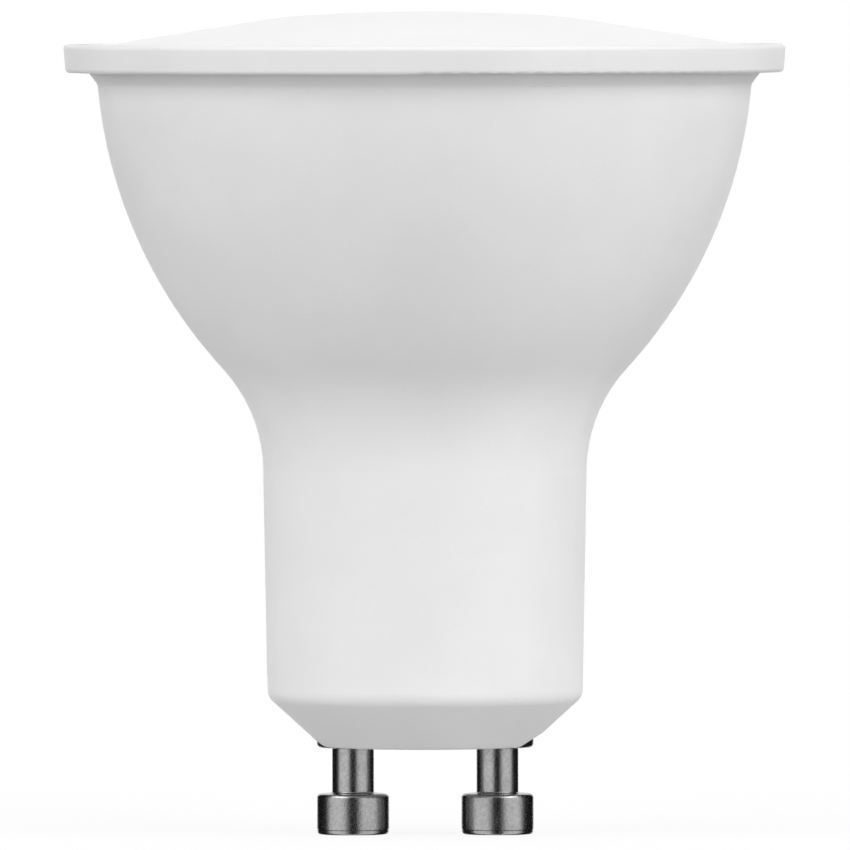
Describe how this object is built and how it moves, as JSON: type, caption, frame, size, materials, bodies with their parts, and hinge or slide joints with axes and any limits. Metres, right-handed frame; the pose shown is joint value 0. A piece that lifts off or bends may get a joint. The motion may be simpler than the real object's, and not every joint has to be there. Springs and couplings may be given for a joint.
{
  "type": "gu10 spotlight bulb",
  "caption": "White reflector-shaped LED spotlight bulb with a domed opal front, a flanged bowl, a straight neck and a two-pin twist-lock base.",
  "frame": {"origin": "on the lamp's axis, at the level of the two pins' ends, midway between the pins", "axes": "+Z along the lamp's axis from the pins towards the light-giving face, +X from the left pin to the right pin as the picture shows them, +Y away from the picture's camera"},
  "size_m": [0.05, 0.05, 0.057],
  "materials": {
    "housing_plastic": "white moulded thermoplastic with a fine satin grain",
    "diffuser_plastic": "opal white moulded diffuser, satin",
    "contact_metal": "turned and nickel-plated, fine mottled satin",
    "dish_aluminium": "bare pressed sheet",
    "board_white": "white solder resist",
    "led_package": "white package with a yellow window",
    "screw_steel": "zinc-plated steel",
    "board_green": "green solder resist",
    "resistor_coat": "grey cement coat on a tinned lead",
    "sleeve_black": "shrunk black sleeve",
    "tinned_wire": "tinned copper",
    "capacitor_sleeve": "dark shrunk film on an aluminium can",
    "film_box": "moulded box",
    "ferrite": "sintered ferrite",
    "copper_enamel": "enamelled copper",
    "chip_epoxy": "moulded epoxy",
    "wire_red": "insulated wire",
    "wire_black": "insulated wire"
  },
  "bodies": {
    "root": {"housing": "housing_plastic", "diffuser": "diffuser_plastic", "contact_pin_left": "contact_metal", "contact_pin_right": "contact_metal", "heat_spreader": "dish_aluminium", "light_board": "board_white", "light_packages": "led_package", "board_screws": "screw_steel", "driver_board": "board_green", "fusible_resistor": "resistor_coat", "fuse_sleeve": "sleeve_black", "neutral_wire": "tinned_wire", "input_capacitor": "capacitor_sleeve", "output_capacitor": "capacitor_sleeve", "film_capacitor": "film_box", "choke_core": "ferrite", "choke_winding": "copper_enamel", "bridge_rectifier": "chip_epoxy", "driver_chip": "chip_epoxy", "output_diode": "chip_epoxy", "chip_resistors": "chip_epoxy", "lead_wire_positive": "wire_red", "lead_wire_negative": "wire_black"}
  },
  "joints": []
}
